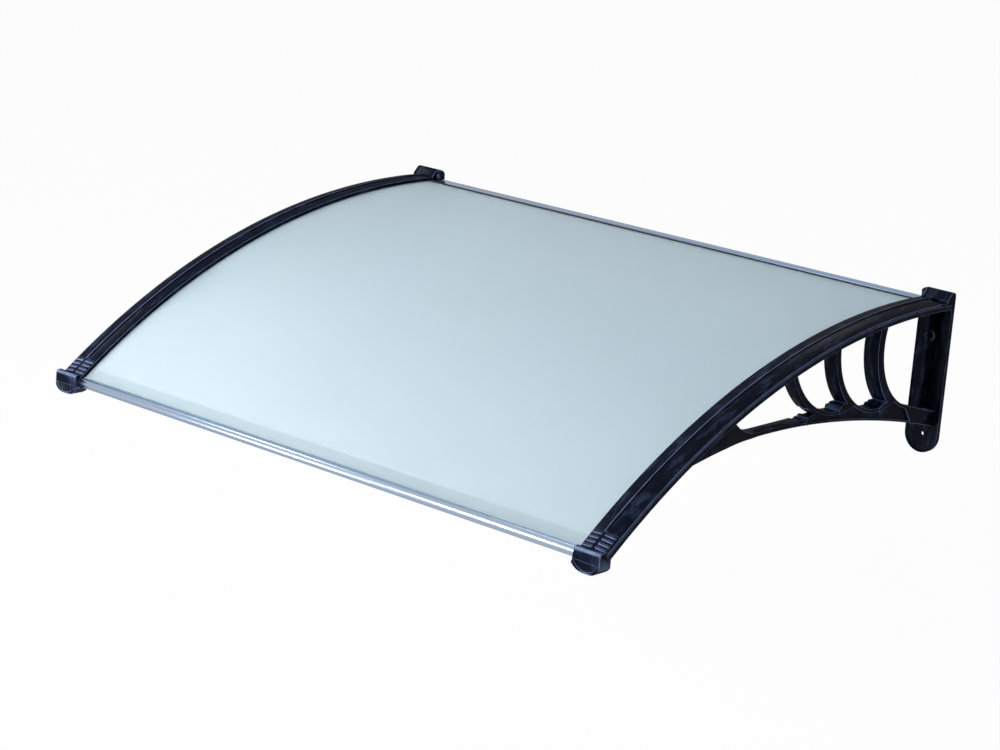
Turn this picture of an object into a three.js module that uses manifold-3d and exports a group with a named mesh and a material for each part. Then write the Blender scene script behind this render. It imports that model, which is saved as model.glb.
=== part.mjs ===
// Arched door canopy: a bent clear sheet between two moulded side brackets, with an
// aluminium rail along the front edge and another against the wall.
// Millimetres. +X runs along the wall, +Y into the wall, +Z up; the wall is the plane y = 0.
import * as THREE from "three";
import { mergeVertices } from "three/addons/utils/BufferGeometryUtils.js";
import Module from "manifold-3d";

const wasm = await Module();
wasm.setup();

// Roof arc: every bent piece is drawn as (x, h), h being the height over the sheet's top face.
const ROOF_R = 1192.6;
const WALL_TILT = -0.0477;
const LIP_ANGLE = 0.6397;
const AXIS_Y = ROOF_R * Math.sin(WALL_TILT);
const AXIS_Z = -ROOF_R * Math.cos(WALL_TILT);
const ARC_STEPS = 36;
const GAP = 0.3;

const SHEET_W = 1000;
const SHEET_T = 3;
const SHEET_BACK_Y = -14;
const SHEET_UNDER = -SHEET_T - GAP;

const STRIP_IN = SHEET_W / 2 - 10;
const STRIP_W = 44;
const STRIP_T = 5.6;
const SIDE_OUT = STRIP_IN + STRIP_W;
const BEAD_X = STRIP_IN + 19.5;
const BEAD_R = 2;
const RAIL_HALF = STRIP_IN - 0.5;
const TRAY_FLOOR_T = 4.3;
const TRAY_WALL_T = 3.2;
const TRAY_BOTTOM = SHEET_UNDER - TRAY_FLOOR_T;
const STRIP_END_S = 3;
const PAD_Y = -41;
const PAD_X = BEAD_X + 2.7;

const NOSE_CENTRE = [-775, -244.5];
const NOSE_HALF = [12, 17];
const NOSE_IN = STRIP_IN - 4;

const FRONT_TUBE_R = 7;
const FRONT_TUBE_S = 8;
const FRONT_TUBE_H = -0.4;
const FRONT_FLANGE_S = -22;
const FRONT_FLANGE_T = 1.7;
const FRONT_RAIL_HALF = SHEET_W / 2 - 1;
const SHEET_FRONT_S = 6.5;

const REAR_LIP_Y = -28.6;
const REAR_LIP_T = 1.8;
const REAR_BOTTOM_Z = -16;
const REAR_BOX_Y = -22;

const PLATE_IN = STRIP_IN - 12;
const PLATE_T = 5;
const PLATE_RIM = 3;
const PLATE_RIM_W = 2.5;
const PLATE_R = (SIDE_OUT - PLATE_IN) / 2;
const PLATE_X = SIDE_OUT - PLATE_R;
const PLATE_FOOT_Z = -201.5;
const HOLE_R = 3.2;
const TOP_HOLE_Z = -50;
const BOSS_R = 8.5;
const RIB_T = 3.4;
const RIB_Y = -24;

const TRUSS_X = SIDE_OUT - 27;
const TRUSS_HALF = 15;
const WALL_ARC = { y: -51.8, low: -147.4, r: 101.8, t: 15, turn: 0.758 };
const MID_ARC = { y: -155.4, low: -136.4, r: 105.8, t: 10.5, turn: 0.778 };
const FRONT_ARC = { y: -252.6, low: -125.3, r: 121.2, t: 9, turn: 1.05 };
const FOOT_OUT = 7.4;
const TIP = [-632, -153];
const FOOT = [-3, -187];
const BELLY = [-460, -132.5];
const LIP_T = 3.5;
const FRONT_SILL = -126;
const RIM_T = 5;
const POCKET_DEPTH = 5;

const SCREW_X = SIDE_OUT - 18;
const SCREW_Y = [-70, -205, -305, -425, -700];
const SCREW_R = 2;
const SCREW_HEAD_R = 4;
const SCREW_HEAD_T = 2.6;
const SCREW_HOLE_R = SCREW_R + GAP;
const FRONT_SCREW = { x: STRIP_IN + 4.8, s: -12 };
const REAR_SCREW = { x: STRIP_IN - 6, y: -14 };
const TAB_T = 4;
const UPSTAND_Y = -21;
const HEEL_Y = -78.5;
const UPSTAND_IN = STRIP_IN - 9;
const CUT_IN = PLATE_IN - 8;
const CUT_OUT = SIDE_OUT + 6;

// Solids

// A point of the roof arc at an angle from the top, h above the sheet: [y, z].
const arc = (angle, h) => [
  AXIS_Y - Math.sin(angle) * (ROOF_R + h),
  AXIS_Z + Math.cos(angle) * (ROOF_R + h),
];
const angleAt = (y) => Math.asin((AXIS_Y - y) / ROOF_R);
// A point s forward of the front lip, measured along the arc.
const ahead = ([s, h]) => arc(LIP_ANGLE + s / ROOF_R, h);

// Points of a circle's arc about (cx, cy), from one angle to another.
function bow(cx, cy, r, from, to, steps = 24) {
  return Array.from({ length: steps + 1 }, (_, i) => {
    const a = from + ((to - from) * i) / steps;
    return [cx + r * Math.cos(a), cy + r * Math.sin(a)];
  });
}

const shapeOf = (points) => new THREE.Shape(points.map(([a, b]) => new THREE.Vector2(a, b)));

// A closed geometry as a solid that can be cut and joined.
function solid(geometry) {
  const bare = geometry.index ? geometry.toNonIndexed() : geometry;
  const placed = new THREE.BufferGeometry().setAttribute("position", bare.getAttribute("position"));
  const welded = mergeVertices(placed, 1e-4);
  const index = Array.from(welded.index.array);
  // A turned profile leaves triangles with no area along its axis.
  const faces = index.filter((_, i) => {
    const [a, b, c] = index.slice(i - (i % 3), i - (i % 3) + 3);
    return a !== b && b !== c && c !== a;
  });
  return new wasm.Manifold(
    new wasm.Mesh({
      numProp: 3,
      vertProperties: welded.attributes.position.array,
      triVerts: new Uint32Array(faces),
    }),
  );
}

// A (y, z) outline drawn out along x.
function bar(outline, x0, x1, holes = [], bevel = 0) {
  const shape = shapeOf(outline);
  shape.holes = holes.map(shapeOf);
  const geometry = new THREE.ExtrudeGeometry(shape, {
    depth: x1 - x0 - 2 * bevel,
    bevelEnabled: bevel > 0,
    bevelThickness: bevel,
    bevelSize: bevel,
    bevelOffset: -bevel,
    bevelSegments: 3,
  });
  geometry.translate(0, 0, x0 + bevel);
  return geometry.applyMatrix4(new THREE.Matrix4().set(0, 0, 1, 0, 1, 0, 0, 0, 0, 1, 0, 0, 0, 0, 0, 1));
}

// An (x, z) outline drawn out along y.
function panel(outline, y0, y1) {
  return new THREE.ExtrudeGeometry(shapeOf(outline), { depth: y1 - y0, bevelEnabled: false })
    .rotateX(Math.PI / 2)
    .translate(0, y1, 0);
}

// An (x, h) outline swept along the roof arc between two angles.
function sweep(outline, from, to, steps = ARC_STEPS) {
  const geometry = new THREE.ExtrudeGeometry(shapeOf(outline), { depth: 1, steps, bevelEnabled: false });
  const p = geometry.attributes.position;
  for (let i = 0; i < p.count; i++) {
    const [y, z] = arc(from + (to - from) * p.getZ(i), p.getY(i));
    p.setXYZ(i, p.getX(i), y, z);
  }
  return geometry;
}

const box = (x0, x1, h0, h1) => [[x0, h0], [x1, h0], [x1, h1], [x0, h1]];
const disc = (y, z, r, steps = 48) => bow(y, z, r, 0, 2 * Math.PI, steps).slice(0, -1);

// A turned solid on the roof's normal at an angle, its profile given as [radius, h].
function turned(profile, x, angle, segments = 16) {
  const [y, z] = arc(angle, 0);
  const points = profile.map(([r, h]) => new THREE.Vector2(r, h));
  return new THREE.LatheGeometry([...points, points[0]], segments)
    .rotateX(Math.PI / 2 + angle)
    .translate(x, y, z);
}

const union = (...parts) => parts.map((g) => (g.add ? g : solid(g))).reduce((a, b) => a.add(b));
const less = (from, ...cuts) => cuts.reduce((a, g) => a.subtract(g.subtract ? g : solid(g)), from);

// Sheet

const backAngle = angleAt(SHEET_BACK_Y);
const sheet = sweep(
  box(-SHEET_W / 2, SHEET_W / 2, -SHEET_T, 0),
  backAngle,
  LIP_ANGLE + SHEET_FRONT_S / ROOF_R,
);

// Front rail: a round nose with a slot for the sheet and a flange under it

const lipRise = Math.PI - Math.asin((GAP + 1 - FRONT_TUBE_H) / FRONT_TUBE_R);
const flangeUnder = SHEET_UNDER - FRONT_FLANGE_T;
const flangeCut = -Math.PI - Math.asin((flangeUnder - FRONT_TUBE_H) / FRONT_TUBE_R);
const nosePoints = bow(FRONT_TUBE_S, FRONT_TUBE_H, FRONT_TUBE_R, lipRise, flangeCut, 30);
const slotEnd = SHEET_FRONT_S + GAP;
const frontRail = less(
  solid(bar(
    [
      [nosePoints[0][0], GAP],
      ...nosePoints,
      [FRONT_FLANGE_S, flangeUnder],
      [FRONT_FLANGE_S, SHEET_UNDER],
      [slotEnd, SHEET_UNDER],
      [slotEnd, GAP],
    ].map(ahead),
    -FRONT_RAIL_HALF,
    FRONT_RAIL_HALF,
    [disc(11, -0.6, 2, 16).map(ahead)],
  )),
  ...[-1, 1].map((side) => turned(
    [[0, -6], [SCREW_HOLE_R, -6], [SCREW_HOLE_R, -3], [0, -3]],
    side * FRONT_SCREW.x,
    LIP_ANGLE + FRONT_SCREW.s / ROOF_R,
  )),
);
const frontSeal = bar(
  [[-1.5, GAP], [-1.3, 1.5], [-0.7, 1.9], [0.3, 1.9], [0.7, 1.5], [0.7, GAP]].map(ahead),
  -RAIL_HALF,
  RAIL_HALF,
);

// Rear rail: a box against the wall with a slot for the sheet

const at = (y, h) => [y, arc(angleAt(y), h)[1]];
const midUnder = SHEET_UNDER - REAR_LIP_T;
const rearRail = less(
  solid(bar(
    [
      at(REAR_LIP_Y, GAP), at(REAR_LIP_Y, GAP + REAR_LIP_T), [0, GAP + REAR_LIP_T],
      [0, REAR_BOTTOM_Z], [REAR_BOX_Y, REAR_BOTTOM_Z], at(REAR_BOX_Y, midUnder),
      at(REAR_BOX_Y - 2, midUnder), at(REAR_BOX_Y - 2, SHEET_UNDER),
      at(SHEET_BACK_Y + 1, SHEET_UNDER), at(SHEET_BACK_Y + 1, GAP),
    ],
    -RAIL_HALF,
    RAIL_HALF,
    [[
      [REAR_BOX_Y + 2, REAR_BOTTOM_Z + REAR_LIP_T], [-3, REAR_BOTTOM_Z + REAR_LIP_T],
      [-3, midUnder - 1], [REAR_BOX_Y + 2, midUnder],
    ]],
  )),
  ...[-1, 1].map((side) => new THREE.CylinderGeometry(SCREW_HOLE_R, SCREW_HOLE_R, 6, 20)
    .rotateX(Math.PI / 2)
    .translate(side * REAR_SCREW.x, REAR_SCREW.y, REAR_BOTTOM_Z)),
);
const rearSeal = bar(
  [
    at(REAR_LIP_Y - 2.6, GAP), at(REAR_LIP_Y - 2.4, 1.9), at(REAR_LIP_Y - 1.8, 2.3),
    at(REAR_LIP_Y - GAP, 2.3), at(REAR_LIP_Y - GAP, GAP),
  ],
  -RAIL_HALF,
  RAIL_HALF,
);

// Bracket for the right-hand side: tray along the arc, truss below it, wall plate and nose

const trayAngles = [angleAt(-2), LIP_ANGLE + 8 / ROOF_R];
const tray = sweep(
  [
    [STRIP_IN, TRAY_BOTTOM], [SIDE_OUT - 1, TRAY_BOTTOM], [SIDE_OUT, TRAY_BOTTOM + 1], [SIDE_OUT, 0],
    [SIDE_OUT - TRAY_WALL_T, 0], [SIDE_OUT - TRAY_WALL_T, SHEET_UNDER], [STRIP_IN, SHEET_UNDER],
  ],
  ...trayAngles,
);

const pad = sweep(
  box(PAD_X + GAP, SIDE_OUT, TRAY_BOTTOM + 1, 3.6),
  angleAt(-2),
  angleAt(PAD_Y + GAP),
  2,
);

const slab = (outline, half = TRUSS_HALF) => solid(bar(outline, TRUSS_X - half, TRUSS_X + half));
const wide = (outline) => slab(outline, 2 * TRUSS_HALF);
const lower = new THREE.CurvePath();
const vec = (y, z) => new THREE.Vector2(y, z);
const between = ([ay, az], [by, bz], share, drop) => vec(ay + (by - ay) * share, az + (bz - az) * share - drop);
lower.add(new THREE.CubicBezierCurve(
  vec(...FOOT), between(FOOT, BELLY, 0.322, -19.5), between(FOOT, BELLY, 0.65, -23.6), vec(...BELLY),
));
lower.add(new THREE.CubicBezierCurve(
  vec(...BELLY), between(BELLY, TIP, 0.29, -7.5), between(BELLY, TIP, 0.58, -4.4), vec(...TIP),
));
const underside = lower.getPoints(14).map((p) => [p.x, p.y]);
const crown = Array.from({ length: 25 }, (_, i) =>
  at(TIP[0] + ((FOOT[0] - TIP[0]) * i) / 24, TRAY_BOTTOM + 1));

// The struts' circles stand on one sill, and each strut's foot is a ledge out from its circle.
const ARCS = [WALL_ARC, MID_ARC, FRONT_ARC];
const round = (a, grow = 0) => wide(disc(a.y, a.low + a.r, a.r + grow, 72));
const footOf = ({ y, low, r, t, turn }) => [
  y - (r + t + FOOT_OUT) * Math.cos(turn), low + r - (r + t + FOOT_OUT) * Math.sin(turn),
];
const feet = ARCS.map(footOf).map(([y, z]) =>
  wide([[y, z - 12], [y + 26, z - 12], [y + 26, z], [y, z]]));
// From its heel to the plate the wall window's sill runs straight on down.
function heel(grow) {
  const along = HEEL_Y - WALL_ARC.y, down = Math.sqrt(WALL_ARC.r ** 2 - along ** 2);
  const centre = WALL_ARC.low + WALL_ARC.r, fall = along / down, z = centre - down - grow;
  return wide([
    [HEEL_Y, z], [-PLATE_T, z + fall * (-PLATE_T - HEEL_Y)], [-PLATE_T, centre], [HEEL_Y, centre],
  ]);
}
const sillEnd = BELLY[0] + 20;
const frontWindow = new THREE.Path().moveTo(-290, FRONT_SILL).lineTo(sillEnd, FRONT_SILL);
frontWindow.quadraticCurveTo(sillEnd - 47, FRONT_SILL, sillEnd - 80, FRONT_SILL + 42)
  .lineTo(sillEnd - 60, 20).lineTo(-290, 20);
const openings = less(
  union(
    round(WALL_ARC).subtract(wide([[-PLATE_T, -200], [90, -200], [90, 100], [-PLATE_T, 100]])),
    heel(0),
    less(round(MID_ARC), round(WALL_ARC, WALL_ARC.t)),
    less(round(FRONT_ARC), round(MID_ARC, MID_ARC.t)),
    less(wide(frontWindow.getPoints(8).map((p) => [p.x, p.y])), round(FRONT_ARC, FRONT_ARC.t)),
  ),
  ...feet,
);
const raised = underside.map(([y, z]) => [y, z + LIP_T]);
const spandrel = raised.filter(([y]) => y > -345 && y < HEEL_Y + 30);
const hollows = less(
  wide([...spandrel, [-345, -112], [HEEL_Y + 30, -112]]),
  ...ARCS.map((a) => round(a, RIM_T)),
  heel(RIM_T + 0.5),
  ...ARCS.map(footOf).map(([y, z]) => wide(disc(y - 2, z - 6, 9, 32))),
  slab([...spandrel.map(([y]) => [y, -300]), [-345, 0], [HEEL_Y + 30, 0]], TRUSS_HALF - POCKET_DEPTH),
);
const pins = ARCS.map(footOf).map(([y, z]) => slab(disc(y - 5, z - 7, 4.5, 20), TRUSS_HALF + 1));
const lip = slab([...underside, ...raised.slice(0, -2).reverse()]);
const truss = union(less(slab([...underside, ...crown]), openings, hollows), lip, ...pins);

// The truss narrows towards its middle and widens again under the front of the arc.
const WIDTHS = [[TIP[0], 1.2], [TIP[0] + 112, 1.1], [TIP[0] + 192, 0.7], [-340, 0.7], [0, 1]];
function widthAt(y) {
  const i = Math.max(1, WIDTHS.findIndex(([to]) => y <= to));
  const [[y0, k0], [y1, k1]] = [WIDTHS[i - 1], WIDTHS[i]];
  return k0 + ((k1 - k0) * (y - y0)) / (y1 - y0);
}
const tapered = truss.warp((v) => {
  v[0] = TRUSS_X + (v[0] - TRUSS_X) * widthAt(Math.min(0, Math.max(TIP[0], v[1])));
});

const plateOutline = (inset) => [
  [SIDE_OUT - inset, 13 - inset], ...bow(PLATE_X, PLATE_FOOT_Z, PLATE_R - inset, 0, -Math.PI, 24),
  [PLATE_IN + inset, REAR_BOTTOM_Z - GAP - inset], [STRIP_IN + inset, REAR_BOTTOM_Z - GAP - inset],
  [STRIP_IN + inset, 13 - inset],
];
const plate = union(
  less(
    solid(panel(plateOutline(0), -PLATE_T - PLATE_RIM, 0)),
    panel(plateOutline(PLATE_RIM_W), -PLATE_T - 2 * PLATE_RIM, -PLATE_T),
  ),
  bar([[RIB_Y, -8], [-2, -8], [-2, -160], [RIB_Y, -160]], PLATE_X - RIB_T / 2, PLATE_X + RIB_T / 2),
  new THREE.CylinderGeometry(BOSS_R, BOSS_R, 10, 32).translate(PLATE_X, -PLATE_T - 4.5, TOP_HOLE_Z),
);
const upstandCap = solid(bar(
  [
    [0, 2.5], [0, 13], [-3, 17.6], [-7, 18.6], [-10.6, 18], [-12.8, 15.6], [-13, 12.2], [-10, 11.4],
    [-10, 2.5],
  ],
  UPSTAND_IN,
  STRIP_IN,
)).intersect(solid(panel(
  [[UPSTAND_IN, 2.5], [STRIP_IN, 2.5], ...bow(STRIP_IN, 9.6, 9, Math.PI / 2, Math.PI, 6)],
  -20,
  0,
)));
const upstand = bar(
  [
    [0, TRAY_BOTTOM], [0, 13], [-3, 17.6], [-7, 18.6], [-10.6, 18], [-12.8, 15.6], [-13, 12.2],
    [-10, 11.4], [-10, TRAY_BOTTOM],
  ],
  STRIP_IN,
  SIDE_OUT,
);
// The upstand's sloping front stands clear over the sheet's corner.
const upstandFoot = bar(
  [
    at(-9, GAP + 0.3), [-9, 17.5], [-13.5, 15.4], [-16.5, 12], [-19, 9.6], [UPSTAND_Y, 7.4],
    at(UPSTAND_Y, GAP + 0.3),
  ],
  STRIP_IN,
  SIDE_OUT,
);
const tab = bar(
  [
    [-30, REAR_BOTTOM_Z - GAP - TAB_T], [-2, REAR_BOTTOM_Z - GAP - TAB_T - 6],
    [-2, REAR_BOTTOM_Z - GAP], [-30, REAR_BOTTOM_Z - GAP],
  ],
  PLATE_IN,
  STRIP_IN + 8,
);
const tabWeb = bar(
  [[-30, -18], [-2, -18], [-2, TRAY_BOTTOM + 1], at(-30, TRAY_BOTTOM + 1)],
  STRIP_IN + 1,
  STRIP_IN + 5,
);

// The nose is a rounded block drawn out along x, and its underside is bowed from side to side.
const squareRound = (t) => Math.sign(t) * Math.abs(t) ** 0.8;
const noseOutline = Array.from({ length: 40 }, (_, i) => {
  const a = (2 * Math.PI * i) / 40;
  return [
    NOSE_CENTRE[0] + NOSE_HALF[0] * squareRound(Math.cos(a)),
    NOSE_CENTRE[1] + NOSE_HALF[1] * squareRound(Math.sin(a)),
  ];
});
// The bowed edge seen from the front, and the same edge drawn in by an inset.
const noseBow = (inset) => new THREE.CubicBezierCurve(
  vec(NOSE_IN + inset, NOSE_CENTRE[1] - 4.5 + inset), vec(NOSE_IN + 14, NOSE_CENTRE[1] - 21 + inset),
  vec(SIDE_OUT - 9, NOSE_CENTRE[1] - 21 + inset), vec(SIDE_OUT + 1 - inset, NOSE_CENTRE[1] - 5.5 + inset),
).getPoints(16).map((p) => [p.x, p.y]);
const bowed = panel(
  [...noseBow(0), [SIDE_OUT + 1, -200], [NOSE_IN, -200]],
  NOSE_CENTRE[0] - 2 * NOSE_HALF[0],
  NOSE_CENTRE[0] + 2 * NOSE_HALF[0],
);
const tubeSeat = disc(FRONT_TUBE_S, FRONT_TUBE_H, FRONT_TUBE_R + GAP, 36).map(ahead);
const dimple = noseBow(4.5);
const front = less(
  solid(bar(noseOutline, NOSE_IN, SIDE_OUT + 1, [], 2.5)).intersect(solid(bowed)),
  bar(box(-60, STRIP_END_S + GAP, SHEET_UNDER, 40).map(ahead), CUT_IN, CUT_OUT),
  bar(box(-60, 60, FRONT_TUBE_H, 60).map(ahead), CUT_IN, STRIP_IN),
  panel(dimple, NOSE_CENTRE[0] - 2 * NOSE_HALF[0], NOSE_CENTRE[0] - NOSE_HALF[0] + 1.5),
);

const drill = (x, z, r, y0, y1) =>
  new THREE.CylinderGeometry(r, r, y1 - y0, 28).translate(x, (y0 + y1) / 2, z);
const bracket = less(
  union(tray, pad, tapered, plate, upstand, upstandCap, upstandFoot, tab, tabWeb, front),
  drill(PLATE_X, PLATE_FOOT_Z, HOLE_R, -40, 10),
  drill(PLATE_X, TOP_HOLE_Z, HOLE_R, -40, 10),
  drill(PLATE_X, TOP_HOLE_Z, BOSS_R - 2.5, -60, -PLATE_T - 3),
  bar(box(-60, slotEnd, SHEET_UNDER, GAP).map(ahead), CUT_IN, SHEET_W / 2 + GAP),
  bar(box(FRONT_FLANGE_S - GAP, FRONT_TUBE_S, flangeUnder - GAP, 0).map(ahead), CUT_IN, FRONT_RAIL_HALF + GAP),
  bar(tubeSeat, CUT_IN, FRONT_RAIL_HALF + GAP),
  ...SCREW_Y.map((y) => turned(
    [[0, -20], [SCREW_HOLE_R, -20], [SCREW_HOLE_R, 0], [0, 0]], SCREW_X, angleAt(y))),
  turned(
    [
      [0, -60], [SCREW_HEAD_R + 0.8, -60], [SCREW_HEAD_R + 0.8, TRAY_BOTTOM],
      [SCREW_HOLE_R, TRAY_BOTTOM], [SCREW_HOLE_R, 0], [0, 0],
    ],
    FRONT_SCREW.x,
    LIP_ANGLE + FRONT_SCREW.s / ROOF_R,
  ),
  new THREE.CylinderGeometry(SCREW_HOLE_R, SCREW_HOLE_R, 30, 20)
    .rotateX(Math.PI / 2)
    .translate(REAR_SCREW.x, REAR_SCREW.y, REAR_BOTTOM_Z),
  new THREE.CylinderGeometry(SCREW_HEAD_R + 0.8, SCREW_HEAD_R + 0.8, 10, 24)
    .rotateX(Math.PI / 2)
    .translate(REAR_SCREW.x, REAR_SCREW.y, REAR_BOTTOM_Z - GAP - TAB_T - 5),
);

// Cover strip for the right-hand side, clamped down on the sheet's edge

const STRIP_TOP = STRIP_T + 1.6;
const brow = new THREE.QuadraticBezierCurve(
  vec(BEAD_X + 3.5, STRIP_TOP), vec(SIDE_OUT - 9, STRIP_TOP - 0.4), vec(SIDE_OUT - 1.2, STRIP_TOP - 3.8),
);
const section = (bead) => [
  [STRIP_IN, GAP], [STRIP_IN, STRIP_T], [STRIP_IN + 1.2, STRIP_T + 1], [BEAD_X - BEAD_R, STRIP_TOP],
  ...bead, ...brow.getPoints(5).map((p) => [p.x, p.y]), [SIDE_OUT, 2.2], [SIDE_OUT, GAP],
  [SIDE_OUT - 5, GAP], [SIDE_OUT - 7, 2.2], [SCREW_X + 5, 4], [SCREW_X + 5, SHEET_UNDER + GAP],
  [SCREW_X - 5, SHEET_UNDER + GAP], [SCREW_X - 5, 4.4], [STRIP_IN + 4, 3.9], [STRIP_IN + 4, GAP],
];
const gripAngle = LIP_ANGLE - 30 / ROOF_R;
const grips = [0, 1, 2, 3].flatMap((i) => {
  const from = gripAngle + (2 + 7.6 * i) / ROOF_R;
  return [
    [[STRIP_IN + 1.5, 6], [BEAD_X - 1.5, 6.4], [BEAD_X - 1.5, 8.4], [STRIP_IN + 1.5, 8]],
    [
      [BEAD_X + 3, 6], [SIDE_OUT - 3.5, 3], [SIDE_OUT - 2.5, 5], [SIDE_OUT - 8, 7.2], [BEAD_X + 3, 8.5],
    ],
  ].map((outline) => sweep(outline, from, from + 4.4 / ROOF_R, 1));
});
const strip = less(
  union(
    sweep(
      section(bow(BEAD_X, STRIP_TOP, BEAD_R, Math.PI, 0, 6).slice(1)),
      angleAt(UPSTAND_Y - GAP),
      gripAngle,
    ),
    sweep(section([]), gripAngle, LIP_ANGLE + STRIP_END_S / ROOF_R, 2),
    ...grips,
  ),
  sweep(box(PAD_X, CUT_OUT, -10, 20), angleAt(0), angleAt(PAD_Y), 2),
  bar(tubeSeat, CUT_IN, FRONT_RAIL_HALF + GAP),
  ...SCREW_Y.map((y) => turned(
    [[0, -20], [SCREW_HOLE_R, -20], [SCREW_HOLE_R, 2.6], [0, 2.6]], SCREW_X, angleAt(y))),
);

// Pan-head screws, driven from below

const panHead = (top, tip) => [
  [0, top - SCREW_HEAD_T], [SCREW_HEAD_R - 1.4, top - SCREW_HEAD_T],
  [SCREW_HEAD_R - 0.4, top - SCREW_HEAD_T + 0.6], [SCREW_HEAD_R, top - 0.8], [SCREW_HEAD_R, top],
  [SCREW_R, top], [SCREW_R, tip - 1], [SCREW_R - 1, tip], [0, tip],
];
const stripScrews = SCREW_Y.map((y) =>
  turned(panHead(TRAY_BOTTOM - GAP, 2), SCREW_X, angleAt(y)));
const frontScrew = turned(
  panHead(TRAY_BOTTOM - GAP, -GAP - SHEET_T),
  FRONT_SCREW.x,
  LIP_ANGLE + FRONT_SCREW.s / ROOF_R,
);
const rearPoints = panHead(REAR_BOTTOM_Z - 2 * GAP - TAB_T, REAR_BOTTOM_Z + 6)
  .map(([r, z]) => new THREE.Vector2(r, z));
const rearScrew = new THREE.LatheGeometry([...rearPoints, rearPoints[0]], 16)
  .rotateX(Math.PI / 2)
  .translate(REAR_SCREW.x, REAR_SCREW.y, 0);

// Meshes

function geometryOf(manifold) {
  const { vertProperties, triVerts } = manifold.simplify(0.002).getMesh();
  const geometry = new THREE.BufferGeometry();
  geometry.setAttribute("position", new THREE.BufferAttribute(new Float32Array(vertProperties), 3));
  geometry.setIndex(new THREE.BufferAttribute(new Uint32Array(triVerts), 1));
  return geometry.toNonIndexed();
}

// The same piece for the other side of the canopy, its faces turned to stay outward.
function mirrored(geometry) {
  const copy = (geometry.index ? geometry.toNonIndexed() : geometry.clone()).scale(-1, 1, 1);
  const p = copy.attributes.position.array;
  for (let i = 0; i < p.length; i += 9)
    for (let k = 0; k < 3; k++) [p[i + 3 + k], p[i + 6 + k]] = [p[i + 6 + k], p[i + 3 + k]];
  return copy;
}

const canopy = new THREE.Group();
canopy.name = "door_canopy";
function add(name, piece, color, roughness, metalness = 0, opacity = 1) {
  const geometry = piece.getMesh ? geometryOf(piece) : piece;
  geometry.computeVertexNormals();
  const material = new THREE.MeshStandardMaterial({
    color, roughness, metalness, opacity, transparent: opacity < 1,
  });
  const mesh = new THREE.Mesh(geometry, material);
  mesh.name = name;
  canopy.add(mesh);
}
function addPair(name, piece, ...look) {
  const geometry = piece.getMesh ? geometryOf(piece) : piece;
  const [stem, ...number] = name.split("#");
  const tail = number.length ? `_${number}` : "";
  add(`${stem}_right${tail}`, geometry, ...look);
  add(`${stem}_left${tail}`, mirrored(geometry), ...look);
}

const BLACK = 0x14161b;
const ALUMINIUM = 0xc9d1da;
const RUBBER = 0x1b1d20;
const STEEL = 0xb9bcc0;
add("canopy_sheet", sheet, 0xd9e6ea, 0.25, 0, 0.5);
add("front_rail", frontRail, ALUMINIUM, 0.3, 1);
add("front_seal", frontSeal, 0x6f8593, 0.7);
add("rear_rail", rearRail, ALUMINIUM, 0.3, 1);
add("rear_seal", rearSeal, RUBBER, 0.7);
addPair("bracket", bracket, BLACK, 0.45);
addPair("cover_strip", strip, BLACK, 0.45);
stripScrews.forEach((screw, i) => addPair(`strip_screw#${i + 1}`, screw, STEEL, 0.3, 1));
addPair("front_rail_screw", frontScrew, STEEL, 0.3, 1);
addPair("rear_rail_screw", rearScrew, STEEL, 0.3, 1);

export default canopy;
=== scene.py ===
"""Arched door canopy: bent translucent sheet, aluminium edge rails and moulded side brackets.

Sizes in the outlines are millimetres. +X runs along the wall, +Y into the wall, +Z up.
"""
import math

import bmesh
import bpy
from bpy.props import FloatProperty, FloatVectorProperty, IntProperty, PointerProperty
from mathutils import Matrix, Vector


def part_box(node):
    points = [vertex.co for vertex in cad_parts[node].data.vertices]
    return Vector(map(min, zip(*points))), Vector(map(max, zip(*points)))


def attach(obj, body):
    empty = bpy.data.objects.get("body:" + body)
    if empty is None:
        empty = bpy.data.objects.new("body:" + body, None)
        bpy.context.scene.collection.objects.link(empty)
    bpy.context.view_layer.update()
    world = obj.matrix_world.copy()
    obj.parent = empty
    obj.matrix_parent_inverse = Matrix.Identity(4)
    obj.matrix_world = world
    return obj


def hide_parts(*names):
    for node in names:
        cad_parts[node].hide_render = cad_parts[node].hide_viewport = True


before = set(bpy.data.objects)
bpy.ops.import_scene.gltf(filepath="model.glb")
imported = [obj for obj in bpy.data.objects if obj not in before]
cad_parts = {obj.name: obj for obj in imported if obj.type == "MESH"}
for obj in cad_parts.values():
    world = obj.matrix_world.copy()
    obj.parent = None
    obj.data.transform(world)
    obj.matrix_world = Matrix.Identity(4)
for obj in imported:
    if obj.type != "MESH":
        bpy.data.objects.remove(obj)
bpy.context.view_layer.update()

bl_info = {
    "name": "Door canopy",
    "version": (1, 0, 0),
    "blender": (4, 5, 0),
    "location": "View3D > Sidebar > Canopy",
    "description": "Builds the visible pieces of an arched door canopy over its solid model",
    "category": "Add Mesh",
}

MM = 0.001

# The roof arc: its axis runs along X, and h is the height over the sheet's top face.
ROOF_R = 1192.6
LIP_ANGLE = 0.6397
AXIS_Y = ROOF_R * math.sin(-0.0477)
AXIS_Z = -ROOF_R * math.cos(-0.0477)
GAP = 0.3
SHEET_T = 3.0
TRAY_BOTTOM = -7.6
SHEET_UNDER = -3.3


def arc(angle, h):
    """The (y, z) point on the roof arc at an angle from its top."""
    return AXIS_Y - math.sin(angle) * (ROOF_R + h), AXIS_Z + math.cos(angle) * (ROOF_R + h)


def angle_at(y):
    return math.asin((AXIS_Y - y) / ROOF_R)


def at(y, h):
    """The point at height h over the sheet, straight above or below a given y."""
    return y, arc(angle_at(y), h)[1]


def ahead(s, h):
    """A point s forward of the sheet's front lip, measured along the arc."""
    return arc(LIP_ANGLE + s / ROOF_R, h)


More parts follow.
